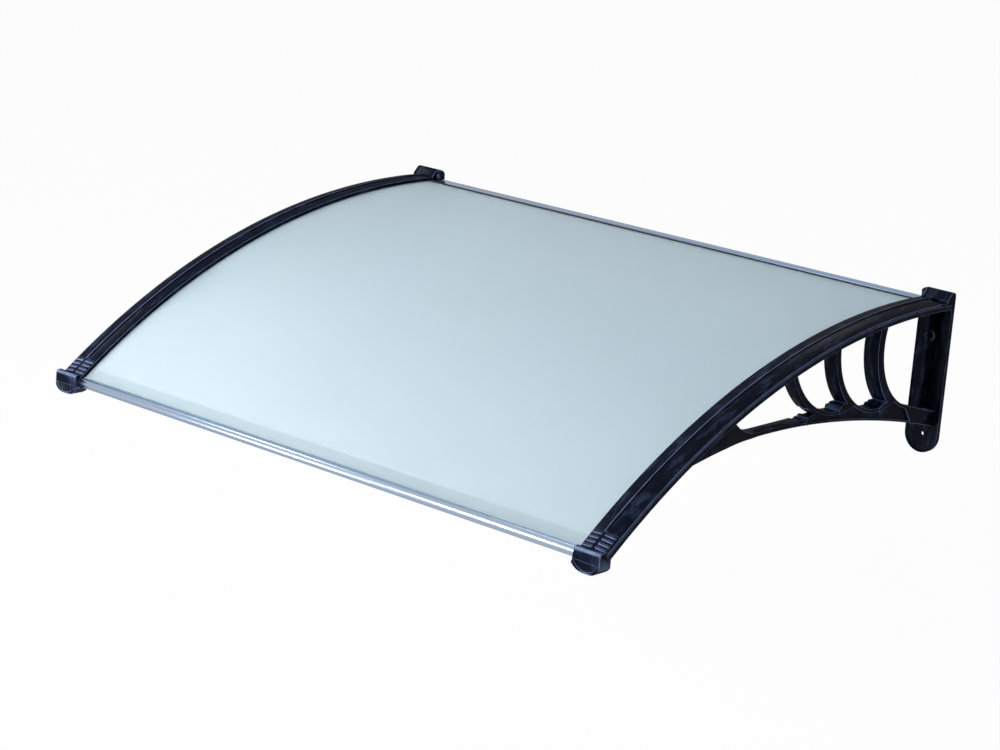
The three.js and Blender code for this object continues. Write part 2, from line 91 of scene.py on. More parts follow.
def bow(cx, cy, r, start, end, steps):
    """Points of a circle's arc."""
    turns = [start + (end - start) * i / steps for i in range(steps + 1)]
    return [(cx + r * math.cos(a), cy + r * math.sin(a)) for a in turns]


def bezier(p0, p1, p2, p3, steps):
    """Points of a cubic curve."""
    points = []
    for i in range(steps + 1):
        t = i / steps
        k = ((1 - t) ** 3, 3 * t * (1 - t) ** 2, 3 * t * t * (1 - t), t**3)
        points.append(tuple(sum(w * p[j] for w, p in zip(k, (p0, p1, p2, p3))) for j in (0, 1)))
    return points


# Modelling steps


def alone(piece):
    """Selects one piece and nothing else."""
    if bpy.context.object and bpy.context.object.mode != "OBJECT":
        bpy.ops.object.mode_set(mode="OBJECT")
    bpy.ops.object.select_all(action="DESELECT")
    bpy.context.view_layer.objects.active = piece
    piece.select_set(True)


def edit_all(piece):
    alone(piece)
    bpy.ops.object.mode_set(mode="EDIT")
    bpy.ops.mesh.select_all(action="SELECT")


def done():
    bpy.ops.object.mode_set(mode="OBJECT")


def outward(piece):
    """Turns every face of the piece outwards."""
    edit_all(piece)
    bpy.ops.mesh.normals_make_consistent(inside=False)
    done()


def flat_face(name, corners):
    """One flat face, from a disc whose rim is moved to the corners."""
    bpy.ops.object.select_all(action="DESELECT")
    bpy.ops.mesh.primitive_circle_add(vertices=len(corners), radius=0.01, fill_type="NGON")
    piece = bpy.context.object
    piece.name = piece.data.name = name
    for vertex, corner in zip(piece.data.vertices, corners):
        vertex.co = [c * MM for c in corner]
    return piece


def drawn_out(piece, offset):
    """Extrudes a flat face into a solid."""
    edit_all(piece)
    bpy.ops.mesh.extrude_region_move(TRANSFORM_OT_translate={"value": [c * MM for c in offset]})
    done()
    outward(piece)
    return piece


def bar(name, outline, x0, x1):
    """A (y, z) outline drawn out along X."""
    return drawn_out(flat_face(name, [(x0, y, z) for y, z in outline]), (x1 - x0, 0, 0))


def panel(name, outline, y0, y1):
    """An (x, z) outline drawn out along Y."""
    return drawn_out(flat_face(name, [(x, y0, z) for x, z in outline]), (0, y1 - y0, 0))


def swept(name, outline, start, end, steps):
    """An (x, h) outline spun along the roof arc from one angle to another."""
    piece = flat_face(name, [(x, *arc(start, h)) for x, h in outline])
    edit_all(piece)
    bpy.ops.mesh.spin(
        steps=steps, angle=end - start, center=(0, AXIS_Y * MM, AXIS_Z * MM), axis=(-1, 0, 0)
    )
    done()
    outward(piece)
    return piece


def rod(name, x, y, z, r, length, axis, sides=48):
    """A round bar about a point, along X, Y or Z."""
    turn = {"X": (0, math.pi / 2, 0), "Y": (math.pi / 2, 0, 0), "Z": (0, 0, 0)}[axis]
    bpy.ops.object.select_all(action="DESELECT")
    bpy.ops.mesh.primitive_cylinder_add(
        vertices=sides, radius=r * MM, depth=length * MM,
        location=(x * MM, y * MM, z * MM), rotation=turn,
    )
    piece = bpy.context.object
    piece.name = name
    settle(piece)
    return piece


def settle(piece):
    """Puts the piece's place into its mesh, so that the object lies at the origin."""
    alone(piece)
    bpy.ops.object.transform_apply(location=True, rotation=True, scale=True)


def cut(piece, *tools, operation="DIFFERENCE"):
    """Cuts the tools out of the piece, or joins them to it, and removes them."""
    for tool in tools:
        alone(piece)
        modifier = piece.modifiers.new("Cut", "BOOLEAN")
        modifier.operation, modifier.solver, modifier.object = operation, "EXACT", tool
        bpy.ops.object.modifier_apply(modifier=modifier.name)
        bpy.data.objects.remove(tool, do_unlink=True)
    return piece


def soften(piece, width, segments=3, angle=30, clamp=True):
    """Rounds the piece's sharp edges."""
    alone(piece)
    modifier = piece.modifiers.new("Edge round", "BEVEL")
    modifier.width, modifier.segments = width * MM, segments
    modifier.limit_method, modifier.angle_limit = "ANGLE", math.radians(angle)
    modifier.use_clamp_overlap = clamp
    bpy.ops.object.modifier_apply(modifier=modifier.name)
    return piece


def smooth(piece, angle=35):
    alone(piece)
    bpy.ops.object.shade_smooth_by_angle(angle=math.radians(angle))


def joined(name, *parts):
    """Joins pieces into one object."""
    alone(parts[0])
    for part in parts[1:]:
        part.select_set(True)
    bpy.ops.object.join()
    piece = bpy.context.object
    piece.name = piece.data.name = name
    return piece


def other_side(piece, name):
    """A mirrored copy of a right-hand piece, with a mesh of its own."""
    alone(piece)
    bpy.ops.object.duplicate(linked=False)
    copy = bpy.context.object
    copy.name = copy.data.name = name
    edit_all(copy)
    bpy.ops.transform.resize(value=(-1, 1, 1), center_override=(0, 0, 0))
    bpy.ops.mesh.flip_normals()
    done()
    return copy


# An edge gets a painted highlight where its two faces turn by this much, in radians.
LEAST_TURN, MOST_TURN = 0.45, 1.2


def mark_painted_edge_highlight(piece):
    """Stores on each corner whether it lies in a rounded outer edge, where a pale highlight is
    painted into the plastic's colour.
    """
    mesh = bmesh.new()
    mesh.from_mesh(piece.data)
    painted_edge_highlight = [0.0] * len(mesh.verts)
    for edge in mesh.edges:
        if len(edge.link_faces) != 2 or not edge.is_convex:
            continue
        turn = edge.calc_face_angle()
        if LEAST_TURN < turn < MOST_TURN:
            for corner in edge.verts:
                painted_edge_highlight[corner.index] = 1.0
    mesh.free()
    piece.data.attributes.new("painted_edge_highlight", "FLOAT", "POINT").data.foreach_set("value", painted_edge_highlight)


def finished(piece, material, slot, *nodes):
    """Gives a piece its material and its place on the object."""
    piece.data.materials.clear()
    piece.data.materials.append(material)
    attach(piece, "root")
    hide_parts(*nodes)


# Materials


class Shade:
    """A material's node tree, with short ways to add and join nodes."""

    def __init__(self, name):
        self.material = bpy.data.materials.get(name) or bpy.data.materials.new(name)
        self.material.use_nodes = True
        self.tree = self.material.node_tree
        self.surface = self.tree.nodes["Principled BSDF"]
        self.place = self.add("ShaderNodeTexCoord").outputs["Object"]

    def add(self, kind, **inputs):
        node = self.tree.nodes.new(kind)
        for key, value in inputs.items():
            socket = node.inputs[key.replace("_", " ")]
            if isinstance(value, bpy.types.NodeSocket):
                self.tree.links.new(value, socket)
            else:
                socket.default_value = value
        return node

    def noise(self, scale, detail=2.0, stretch=(1, 1, 1), roughness=0.5):
        place = self.add("ShaderNodeMapping", Vector=self.place, Scale=stretch).outputs[0]
        return self.add(
            "ShaderNodeTexNoise", Vector=place, Scale=scale, Detail=detail, Roughness=roughness
        ).outputs[0]

    def ramp(self, value, low, high, from_min=0.3, from_max=0.7):
        node = self.add("ShaderNodeMapRange", Value=value)
        limits = {"From Min": from_min, "From Max": from_max, "To Min": low, "To Max": high}
        for key, number in limits.items():
            node.inputs[key].default_value = number
        return node.outputs[0]

    def blend(self, share, first, second):
        node = self.add("ShaderNodeMix")
        node.data_type = "RGBA"
        self.tree.links.new(share, node.inputs[0])
        for socket, colour in zip((node.inputs[6], node.inputs[7]), (first, second)):
            if isinstance(colour, bpy.types.NodeSocket):
                self.tree.links.new(colour, socket)
            else:
                socket.default_value = (*colour[:3], 1)
        return node.outputs[2]

    def bump(self, height, strength, distance, normal=None):
        node = self.add("ShaderNodeBump", Height=height, Strength=strength, Distance=distance)
        if normal:
            self.tree.links.new(normal, node.inputs["Normal"])
        return node.outputs[0]

    def set(self, **inputs):
        for key, value in inputs.items():
            socket = self.surface.inputs[key.replace("_", " ")]
            if isinstance(value, bpy.types.NodeSocket):
                self.tree.links.new(value, socket)
            else:
                socket.default_value = value


def any_of(tree, *outputs):
    """One output that is 1 where any of the outputs is."""
    last = outputs[0]
    for output in outputs[1:]:
        node = tree.nodes.new("ShaderNodeMath")
        node.operation = "MAXIMUM"
        tree.links.new(last, node.inputs[0])
        tree.links.new(output, node.inputs[1])
        last = node.outputs[0]
    return last


def moulded_plastic(colour):
    """Black moulded plastic: flow marks in a satin skin that also paint pale streaks of sheen, fine
    grain, and a painted highlight along rounded outer edges.
    """
    s = Shade("moulded_plastic")
    clouds = s.noise(45, 4)
    # Flow marks that vary the roughness and the coat's bumps, and also paint paler streaks of sheen
    # into the colour.
    flow_and_sheen = s.noise(120, 4, (1, 0.25, 0.25), 0.6)
    grain = s.noise(1400, 2)
    # Painted highlight: a pale blue colour along the marked rounded outer edges, varied by the
    # clouds.
    edges = s.add("ShaderNodeAttribute")
    edges.attribute_name = "painted_edge_highlight"
    edge_highlight_share = s.add("ShaderNodeMath", Value=edges.outputs["Fac"])
    edge_highlight_share.operation = "MULTIPLY"
    s.tree.links.new(s.ramp(clouds, 0.5, 1), edge_highlight_share.inputs[1])
    deep = s.blend(s.ramp(clouds, 0, 1), [c * 0.7 for c in colour], [c * 1.6 for c in colour])
    # Painted sheen: the flow marks lighten the colour in streaks towards a pale blue.
    tone = s.blend(s.ramp(flow_and_sheen, 0, 0.7, 0.52, 0.7), deep, (0.036, 0.05, 0.11))
    low = s.bump(clouds, 0.25, 0.0006)
    s.set(
        Base_Color=s.blend(edge_highlight_share.outputs[0], tone, (0.2, 0.27, 0.48)),
        Roughness=s.ramp(flow_and_sheen, 0.5, 0.7),
        Normal=s.bump(grain, 0.18, 0.0001, low),
        Specular_IOR_Level=0.0,
        Coat_Weight=0.08,
        Coat_Roughness=0.24,
        Coat_Normal=s.bump(flow_and_sheen, 0.3, 0.0003, low),
    )
    return s.material


def frosted_sheet(colour):
    """Translucent polycarbonate: a milky body under a satin skin."""
    s = Shade("frosted_sheet")
    haze = s.noise(3.5, 3)
    dim, bright = [c * 0.985 for c in colour], [min(1, c * 1.01) for c in colour]
    tone = s.blend(s.ramp(haze, 0, 1), dim, bright)
    s.set(
        Base_Color=tone,
        Roughness=s.ramp(s.noise(6, 2), 0.5, 0.56),
        Transmission_Weight=0.5,
        IOR=1.45,
        Specular_IOR_Level=0.25,
        Normal=s.bump(s.noise(30, 2), 0.03, 0.0002),
    )
    return s.material


def drawn_aluminium(name, colour):
    """Anodised extrusion: fine lines along its length."""
    s = Shade(name)
    lines = s.noise(160, 3, (0.02, 12, 12))
    patches = s.noise(18, 3, (0.2, 1, 1))
    s.set(
        Base_Color=s.blend(s.ramp(patches, 0, 1), [c * 0.94 for c in colour], colour),
        Metallic=1.0,
        Roughness=s.ramp(lines, 0.18, 0.25),
        Normal=s.bump(lines, 0.05, 0.00003),
        Specular_Tint=(0.6, 0.66, 0.74, 1),
    )
    return s.material


def soft_seal(name, colour):
    """Soft glazing seal: dull, with a fine skin."""
    s = Shade(name)
    s.set(
        Base_Color=s.blend(s.ramp(s.noise(70, 3), 0, 1), [c * 0.8 for c in colour], colour),
        Roughness=s.ramp(s.noise(300, 2), 0.6, 0.8),
        Normal=s.bump(s.noise(1200, 2), 0.3, 0.0001),
        Specular_IOR_Level=0.3,
    )
    return s.material


def plain_steel(colour):
    """Stainless screw heads, lightly scuffed."""
    s = Shade("plain_steel")
    scuffs = s.noise(500, 3, (1, 1, 0.2))
    s.set(
        Base_Color=s.blend(s.ramp(scuffs, 0, 1), [c * 0.8 for c in colour], colour),
        Metallic=1.0,
        Roughness=s.ramp(scuffs, 0.2, 0.42),
        Normal=s.bump(scuffs, 0.1, 0.00005),
    )
    return s.material


# Outlines of the pieces, for the right-hand side

STRIP_IN = 490.0
SIDE_OUT = 534.0
BEAD_X = 509.5
RAIL_HALF = 489.5
SHEET_BACK_Y = -14.0
SHEET_FRONT_S = 6.5
TUBE_S, TUBE_H, TUBE_R = 8.0, -0.4, 7.0
FRONT_RAIL_HALF = 499.0
FLANGE_S, FLANGE_T = -22.0, 1.7
REAR_LIP_Y, REAR_LIP_T = -28.6, 1.8
REAR_BOX_Y, REAR_BOTTOM_Z = -22.0, -16.0
SCREW_HOLE_R = 2.3
FRONT_SCREW_X, FRONT_SCREW_S = 494.8, -12.0
REAR_SCREW_X, REAR_SCREW_Y = 484.0, -14.0
PAD_X = 512.2
PAD_Y = -41.0
GRIP_ANGLE = LIP_ANGLE - 30 / ROOF_R
SCREW_X = 516.0
SCREW_Y = (-70, -205, -305, -425, -700)
TRUSS_X = 507.0
TRUSS_HALF = 15.0
WALL_STRUT = {"y": -51.8, "low": -147.4, "r": 101.8, "t": 15.0, "turn": 0.758}
MID_STRUT = {"y": -155.4, "low": -136.4, "r": 105.8, "t": 10.5, "turn": 0.778}
FRONT_STRUT = {"y": -252.6, "low": -125.3, "r": 121.2, "t": 9.0, "turn": 1.05}
STRUTS = (WALL_STRUT, MID_STRUT, FRONT_STRUT)
FOOT = (-3, -187)
BELLY = (-460, -132.5)
TIP = (-632, -153)
STRUT_FOOT_OUT = 7.4
FRONT_SILL = -126.0
PLATE_X = 506.0
PLATE_R = 28.0
PLATE_IN = 478.0
PLATE_DEPTH = 8.0
PLATE_RIM, PLATE_RIM_W = 3.0, 2.5
BOSS_R = 8.5
WALL_HOLE_R = 3.2
PLATE_FOOT_Z = -201.5
TOP_HOLE_Z = -50.0
NOSE = (-775.0, -244.5)
NOSE_HALF = (12.0, 17.0)
NOSE_IN = 486.0
UPSTAND_Y = -21.0
UPSTAND_IN = STRIP_IN - 9
HEEL_Y = -78.5


# The raised bead on the cover strip: its radius, and the angles of its corners in degrees.
BEAD_R = 2.0
CREST = (180, 160, 140, 120, 90, 60, 40, 20, 0)


def foot_of(strut):
    """The (y, z) point where a strut's foot stands on the chord."""
    out = strut["r"] + strut["t"] + STRUT_FOOT_OUT
    y = strut["y"] - out * math.cos(strut["turn"])
    return y, strut["low"] + strut["r"] - out * math.sin(strut["turn"])


def tube_seat():
    """The round the front rail's tube sits in, drawn out to the tube's end."""
    y, z = ahead(TUBE_S, TUBE_H)
    seat = bow(y, z, TUBE_R + GAP, 0, 2 * math.pi, 48)[:-1]
    return bar("tube_seat", seat, 470, FRONT_RAIL_HALF + GAP)


def strip_outline(bead):
    """The cover strip's section, with or without its raised bead."""
    brow = bezier((513, 7.2), (521, 6.95), (527.6, 5.7), (532.8, 3.4), 10)
    top = [
        (STRIP_IN, 0.3), (STRIP_IN, 5.1), (490.2, 5.8), (490.7, 6.3), (491.5, 6.6), (507.0, 7.15),
    ]
    turns = [math.radians(a) for a in CREST]
    crest = [(BEAD_X + BEAD_R * math.cos(a), 7.2 + BEAD_R * math.sin(a)) for a in turns]
    ridge = crest if bead else [(BEAD_X, 7.25)]
    under = [
        (SIDE_OUT, 2.2), (SIDE_OUT, 1.4), (SIDE_OUT, 0.3), (529, 0.3), (527, 2.2), (521, 4),
        (521, -3), (511, -3), (511, 4.4),
    ]
    return top + ridge + brow + [(533.6, 2.9)] + under + [(494, 3.9), (494, 0.3)]


def tray_outline():
    """The tray's section: a floor under the sheet's edge and an outer wall."""
    outer = [
        (STRIP_IN, TRAY_BOTTOM), (533, TRAY_BOTTOM), (533.7, -7.3), (SIDE_OUT, -6.6),
        (SIDE_OUT, -1.2), (SIDE_OUT, -0.5), (533.5, 0),
    ]
    return outer + [(530.8, 0), (530.8, SHEET_UNDER), (STRIP_IN, SHEET_UNDER)]


# Pieces


class CanopySizes(bpy.types.PropertyGroup):
    """Sizes that shape the visible pieces."""

    sweep_steps: IntProperty(
        name="Arc steps", description="Steps along the roof arc on each bent piece",
        default=150, min=24, max=400,
    )
    edge_round: FloatProperty(
        name="Edge rounding", description="Radius on the moulded edges",
        default=0.0009, unit="LENGTH",
    )
    strip_edge: FloatProperty(
        name="Strip edge rounding", description="Radius on the cover strips' ends",
        default=0.0005, unit="LENGTH",
    )
    sheet_width: FloatProperty(
        name="Sheet width",
        description="Width of the bent sheet, from the solid model",
        default=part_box("canopy_sheet")[1][0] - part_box("canopy_sheet")[0][0],
        unit="LENGTH",
    )


class CanopyColours(bpy.types.PropertyGroup):
    """Base colours of the finishes."""

    plastic: FloatVectorProperty(
        name="Plastic", description="Moulded brackets and strips",
        subtype="COLOR", default=(0.003, 0.005, 0.013),
    )
    sheet: FloatVectorProperty(
        name="Sheet", description="Translucent sheet",
        subtype="COLOR", default=(0.68, 0.81, 0.88),
    )
    metal: FloatVectorProperty(
        name="Aluminium", description="Edge rails",
        subtype="COLOR", default=(0.36, 0.44, 0.56),
    )
    # The wall rail is the same aluminium as the front rail; its darker colour is painted shade for
    # the dark surroundings it reflects.
    shaded_rear_metal: FloatVectorProperty(
        name="Rear aluminium", description="Wall rail, anodised a shade darker",
        subtype="COLOR", default=(0.22, 0.3, 0.42),
    )
    front_seal: FloatVectorProperty(
        name="Front seal", description="Grey-blue seal by the front rail",
        subtype="COLOR", default=(0.24, 0.38, 0.5),
    )
    # A thin dark sheet that paints the shade band seen through the sheet over the front flange.
    shade_tape: FloatVectorProperty(
        name="Flange tape", description="Tape between the front flange and the sheet",
        subtype="COLOR", default=(0.04, 0.09, 0.14),
    )
    rear_seal: FloatVectorProperty(
        name="Rear seal", description="Black seal by the wall rail",
        subtype="COLOR", default=(0.012, 0.013, 0.018),
    )
    steel: FloatVectorProperty(
        name="Steel", description="Screws",
        subtype="COLOR", default=(0.55, 0.56, 0.58),
    )


class CANOPY_OT_sheet(bpy.types.Operator):
    """Bends the translucent sheet along the roof arc"""

    bl_idname = "canopy.sheet"
    bl_label = "Sheet"

    def execute(self, context):
        sizes = context.scene.canopy_sizes
        half = sizes.sheet_width / MM / 2
        r = 0.5
        outline = [
            (-half, -SHEET_T + r), (-half + r, -SHEET_T), (half - r, -SHEET_T),
            (half, -SHEET_T + r), (half, -r), (half - r, 0), (-half + r, 0), (-half, -r),
        ]
        back, front = angle_at(SHEET_BACK_Y), LIP_ANGLE + SHEET_FRONT_S / ROOF_R
        sheet = swept("bent_sheet", outline, back, front, sizes.sweep_steps)
        soften(sheet, 0.4, 2)
        smooth(sheet)
        material = frosted_sheet(context.scene.canopy_colours.sheet)
        finished(sheet, material, "sheet", "canopy_sheet")
        return {"FINISHED"}


class CANOPY_OT_rails(bpy.types.Operator):
    """Draws out the two aluminium rails and their seals"""

    bl_idname = "canopy.rails"
    bl_label = "Rails and seals"

    def execute(self, context):
        colours = context.scene.canopy_colours
        metal = drawn_aluminium("drawn_aluminium", colours.metal)
        under = SHEET_UNDER - FLANGE_T
        rise = math.pi - math.asin((GAP + 1 - TUBE_H) / TUBE_R)
        fall = -math.pi - math.asin((under - TUBE_H) / TUBE_R)
        tube = bow(TUBE_S, TUBE_H, TUBE_R, rise, fall, 64)
        slot = SHEET_FRONT_S + GAP
        outline = [
            (tube[0][0], GAP), *tube, (FLANGE_S, under), (FLANGE_S, SHEET_UNDER),
            (slot, SHEET_UNDER), (slot, GAP),
        ]
        front = [ahead(*p) for p in outline]
        front = bar("front_rail_body", front, -FRONT_RAIL_HALF, FRONT_RAIL_HALF)
        ring = bow(11, -0.6, 2, 0, 2 * math.pi, 24)[:-1]
        port = bar("port", [ahead(*p) for p in ring], -510, 510)
        holes = [self.screw_hole(side) for side in (-1, 1)]
        cut(front, port, *holes)
        soften(front, 0.25, 2, 40)
        smooth(front, 30)
        finished(front, metal, "rail_metal", "front_rail")

        lip = SHEET_UNDER - REAR_LIP_T
        top = GAP + REAR_LIP_T
        outline = [
            at(REAR_LIP_Y, GAP), at(REAR_LIP_Y, top), (0, top), (0, REAR_BOTTOM_Z),
            (REAR_BOX_Y, REAR_BOTTOM_Z), at(REAR_BOX_Y, lip),
            at(-24, lip), at(-24, SHEET_UNDER), at(-13, SHEET_UNDER), at(-13, GAP),
        ]
        rear = bar("rear_rail_body", outline, -RAIL_HALF, RAIL_HALF)
        hollow = bar("hollow", [(-20, -14.2), (-3, -14.2), (-3, lip - 1), (-20, lip)], -500, 500)
        place = (REAR_SCREW_Y, REAR_BOTTOM_Z, SCREW_HOLE_R, 6, "Z")
        cut(rear, hollow, *[rod("hole", side * REAR_SCREW_X, *place) for side in (-1, 1)])
        soften(rear, 0.3, 2, 40)
        smooth(rear, 30)
        # A darker copy of the rail aluminium: painted shade on the wall rail.
        shaded_rear_metal = drawn_aluminium("shaded_rear_aluminium", colours.shaded_rear_metal)
        finished(rear, shaded_rear_metal, "rail_metal", "rear_rail")

        outline = [
            (-1.5, GAP), (-1.3, 1.5), (-0.9, 1.85), (-0.4, 1.95),
            (0.1, 1.9), (0.6, 1.5), (0.7, GAP),
        ]
        seal = bar("front_seal_bead", [ahead(*p) for p in outline], -RAIL_HALF, RAIL_HALF)
        # The dark tape under the sheet's front edge paints the shade band over the flange.
        outline = [(-21.8, -3.28), (6, -3.28), (6, -3.04), (-21.8, -3.04)]
        shade_tape = bar("flange_shade_tape", [ahead(*p) for p in outline], -RAIL_HALF, RAIL_HALF)
        finished(shade_tape, soft_seal("shade_tape_rubber", colours.shade_tape), "front_seal")
        smooth(seal, 50)
        rubber = soft_seal("front_seal_rubber", colours.front_seal)
        finished(seal, rubber, "front_seal", "front_seal")

        outline = [
            at(-31.2, GAP), at(-31.1, 1.5), at(-30.8, 2.1), at(-30.2, 2.3),
            at(-29.2, 2.25), at(-28.9, 2), at(-28.9, GAP),
        ]
        seal = bar("rear_seal_bead", outline, -RAIL_HALF, RAIL_HALF)
        smooth(seal, 50)
        rubber = soft_seal("rear_seal_rubber", colours.rear_seal)
        finished(seal, rubber, "rear_seal", "rear_seal")
        return {"FINISHED"}

    def screw_hole(self, side):
        """A round through the front flange, square to it."""
        angle = LIP_ANGLE + FRONT_SCREW_S / ROOF_R
        x = side * FRONT_SCREW_X
        y, z = arc(angle, -4.5)
        hole = rod("hole", x, y, z, SCREW_HOLE_R, 3, "Z")
        edit_all(hole)
        bpy.ops.transform.rotate(
            value=-angle, orient_axis="X", center_override=(x * MM, y * MM, z * MM)
        )
        done()
        return hole


class CANOPY_OT_cover_strips(bpy.types.Operator):
    """Sweeps the two cover strips with their bead and grip bars"""

    bl_idname = "canopy.cover_strips"
    bl_label = "Cover strips"

    def execute(self, context):
        sizes, colours = context.scene.canopy_sizes, context.scene.canopy_colours
        steps = sizes.sweep_steps
        strip = swept("strip", strip_outline(True), angle_at(UPSTAND_Y - GAP), GRIP_ANGLE, steps)
        front = swept("strip_front", strip_outline(False), GRIP_ANGLE, LIP_ANGLE + 3 / ROOF_R, 6)
        over_pad = [(PAD_X, -10), (545, -10), (545, 20), (PAD_X, 20)]
        cut(strip, swept("over_pad", over_pad, angle_at(20), angle_at(PAD_Y), 6))
        ring = bow(TUBE_S, TUBE_H, TUBE_R + GAP, 0, 2 * math.pi, 48)[:-1]
        cut(front, bar("seat", [ahead(*p) for p in ring], 470, FRONT_RAIL_HALF + GAP))
        inner = [(491.5, 4.0), (508, 4.0), (508, 8.4), (491.5, 8)]
        outer = [
            (512.5, 4.2), (525, 3), (531.5, 4.4), (529, 6.3), (526, 7.2), (519, 8), (512.5, 8.5),
        ]
        pitch, length = 7.6, 4.4
        bars = []
        for i in range(4):
            start = GRIP_ANGLE + (2 + pitch * i) / ROOF_R
            for outline in (inner, outer):
                grip = swept("grip", outline, start, start + length / ROOF_R, 1)
                bars.append(soften(grip, 1.9, 3, clamp=False))
        soften(strip, sizes.strip_edge / MM, 2, 40)
        soften(front, sizes.strip_edge / MM, 2, 40)
        right = joined("cover_strip_body_right", strip, front, *bars)
        smooth(right, 32)
        mark_painted_edge_highlight(right)
        left = other_side(right, "cover_strip_body_left")
        plastic = moulded_plastic(colours.plastic)
        finished(right, plastic, "black_plastic", "cover_strip_right")
        finished(left, plastic, "black_plastic", "cover_strip_left")
        return {"FINISHED"}


class CANOPY_OT_brackets(bpy.types.Operator):
    """Builds the two moulded side brackets"""

    bl_idname = "canopy.brackets"
    bl_label = "Brackets"

    def execute(self, context):
        sizes, colours = context.scene.canopy_sizes, context.scene.canopy_colours
        edge = sizes.edge_round / MM
        parts = [
            self.tray(sizes.sweep_steps), self.pad(), self.truss(edge), self.plate(edge),
            self.upstand(), *self.tab(), self.nose(),
        ]
        right = joined("bracket_body_right", *parts)
        smooth(right, 32)
        mark_painted_edge_highlight(right)
        left = other_side(right, "bracket_body_left")
        plastic = moulded_plastic(colours.plastic)
        finished(right, plastic, "black_plastic", "bracket_right")
        finished(left, plastic, "black_plastic", "bracket_left")
        return {"FINISHED"}

    def tray(self, steps):
        tray = swept("tray", tray_outline(), angle_at(-2), LIP_ANGLE + 8 / ROOF_R, steps)
        return cut(tray, tube_seat())

    def pad(self):
        outline = [
            (512.5, -6.6), (531.5, -6.6), (531.5, -0.6), (SIDE_OUT, -0.6), (SIDE_OUT, 3.6),
            (512.5, 3.6),
        ]
        return soften(swept("pad", outline, angle_at(-2), angle_at(PAD_Y + GAP), 6), 0.6, 2)

    def window(self, strut, grow=0.0):
        r = strut["r"] + grow
        return rod("window", TRUSS_X, strut["y"], strut["low"] + strut["r"], r, 80, "X", 144)

    def heel(self, grow=0.0):
        """The wall window's straight end, from its circle on down to the plate."""
        along = HEEL_Y - WALL_STRUT["y"]
        down = math.sqrt(WALL_STRUT["r"] ** 2 - along**2)
        centre = WALL_STRUT["low"] + WALL_STRUT["r"]
        z = centre - down - grow
        end = -4
        end_z = z + along / down * (end - HEEL_Y)
        outline = [(HEEL_Y, z), (end, end_z), (end, centre), (HEEL_Y, centre)]
        return bar("heel", outline, 460, 554)

    def truss(self, edge):
        belly = bezier(FOOT, (-150, -150), (-300, -128), BELLY, 28)
        belly += bezier(BELLY, (-510, -131), (-560, -140), TIP, 16)[1:]
        crown = [at(TIP[0] + (FOOT[0] - TIP[0]) * i / 60, TRAY_BOTTOM + 1) for i in range(61)]
        truss = bar("truss", belly + crown, TRUSS_X - TRUSS_HALF, TRUSS_X + TRUSS_HALF)

        feet = [foot_of(strut) for strut in STRUTS]
        wall = cut(self.window(WALL_STRUT), self.heel(), operation="UNION")
        cut(wall, bar("wall_side", [(-5, -200), (90, -200), (90, 100), (-5, 100)], 400, 600))
        mid = cut(self.window(MID_STRUT), self.window(WALL_STRUT, WALL_STRUT["t"]))
        front = cut(self.window(FRONT_STRUT), self.window(MID_STRUT, MID_STRUT["t"]))
        end = BELLY[0] + 20
        curve = bezier(
            (end, FRONT_SILL), (end - 31, FRONT_SILL), (end - 58, -112), (end - 80, -84), 12
        )
        tip = bar("window", [(-290, FRONT_SILL), *curve, (end - 60, 20), (-290, 20)], 467, 547)
        cut(tip, self.window(FRONT_STRUT, FRONT_STRUT["t"]))
        windows = (wall, mid, front, tip)
        for window, (y, z) in zip(windows[1:], feet):
            foot = [(y + 26, z - 12), (y + 26, z), (y, z), (y - 9.5, z - 7.5), (y - 9.5, z - 12)]
            cut(window, bar("foot", foot, 460, 550))
        cut(truss, *windows)

        raised = [(y, z + 3.5) for y, z in belly if -345 < y < HEEL_Y + 20]
        for side in (-1, 1):
            face = TRUSS_X + side * TRUSS_HALF
            floor = TRUSS_X + side * (TRUSS_HALF - 5)
            x0, x1 = sorted((floor, face + side * 5))
            pocket = bar("pocket", raised + [(-345, -112), (HEEL_Y - 30, -112)], x0, x1)
            cut(pocket, self.heel(5.5), *[self.window(strut, 5) for strut in STRUTS])
            cut(pocket, *[rod("round_pin", TRUSS_X, y - 2, z - 6, 9, 80, "X", 48) for y, z in feet])
            cut(truss, pocket)
        edit_all(truss)
        for y in (-560, -520, -480, -440, -400, -340, -280, -220, -160, -100, -50):
            bpy.ops.mesh.select_all(action="SELECT")
            bpy.ops.mesh.bisect(plane_co=(0, y * MM, 0), plane_no=(0, 1, 0))
        bpy.ops.mesh.select_all(action="SELECT")
        bpy.ops.mesh.remove_doubles(threshold=0.4 * MM)
        done()
        soften(truss, edge, 3, 35, clamp=False)
        pins = []
        for y, z in feet:
            for side in (-1, 1):
                x = TRUSS_X + side * TRUSS_HALF
                pins.append(rod("pin", x, y - 5, z - 7, 4.5, 3.4, "X", 32))
        truss = joined("truss", truss, *[soften(pin, 1.2, 3) for pin in pins])
        middle = TRUSS_X * MM
        for vertex in truss.data.vertices:
            share = self.width_at(vertex.co.y / MM)
            vertex.co.x = middle + (vertex.co.x - middle) * share
        return truss

    def width_at(self, y):
        """How wide the truss is at y, against its width at the wall."""
        widths = [(TIP[0], 1.2), (TIP[0] + 112, 1.1), (TIP[0] + 192, 0.7), (-340, 0.7), (0, 1)]
        y = min(0, max(TIP[0], y))
        for (y0, k0), (y1, k1) in zip(widths, widths[1:]):
            if y <= y1:
                return k0 + (k1 - k0) * (y - y0) / (y1 - y0)

